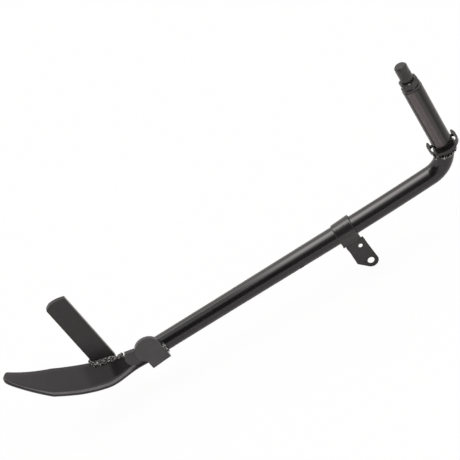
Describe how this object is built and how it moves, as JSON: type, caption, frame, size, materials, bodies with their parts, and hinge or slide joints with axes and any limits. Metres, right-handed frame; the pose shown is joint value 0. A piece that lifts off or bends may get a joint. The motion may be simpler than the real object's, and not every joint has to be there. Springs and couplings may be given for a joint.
{
  "type": "motorcycle side stand",
  "caption": "Bent side stand leg on a pivot barrel, with a curved foot plate, a boot lever, a clip with a drilled tab and a disc stop.",
  "frame": {"origin": "centre of the pivot barrel's lower end", "axes": "+Z along the pivot towards the threaded stud, -X along the leg towards the foot, -Y the side of the stop plate"},
  "size_m": [0.4323, 0.0334, 0.1584],
  "materials": {
    "gloss_black": "gloss black enamel over steel",
    "satin_black": "satin black enamel over steel plate",
    "weld_black": "gloss black enamel over rippled weld",
    "washer_black": "matt black thrust washer",
    "bush_bronze": "plain bearing bronze"
  },
  "bodies": {
    "barrel": {"pivot_barrel": "gloss_black", "lower_bush": "bush_bronze", "upper_bush": "bush_bronze"},
    "leg": {"thrust_washer": "washer_black", "top_washer": "gloss_black", "pivot_nut": "gloss_black", "pivot_spindle": "gloss_black", "spring_plate": "gloss_black", "plate_weld": "weld_black", "elbow_bar": "gloss_black", "elbow_weld": "weld_black", "leg_tube": "gloss_black", "plug_weld": "weld_black", "clip": "satin_black", "clip_weld": "weld_black", "stop_plate": "satin_black", "stop_weld": "weld_black", "tongue": "satin_black", "tongue_weld": "weld_black", "foot": "gloss_black", "foot_weld": "weld_black", "kick_lever": "satin_black", "lever_weld": "weld_black"}
  },
  "joints": [
    {"name": "stand_swing", "type": "hinge", "parent": "barrel", "child": "leg", "pos_m": [0, 0, 0], "axis": [0, 0, 1], "range_deg": [0, 95]}
  ]
}
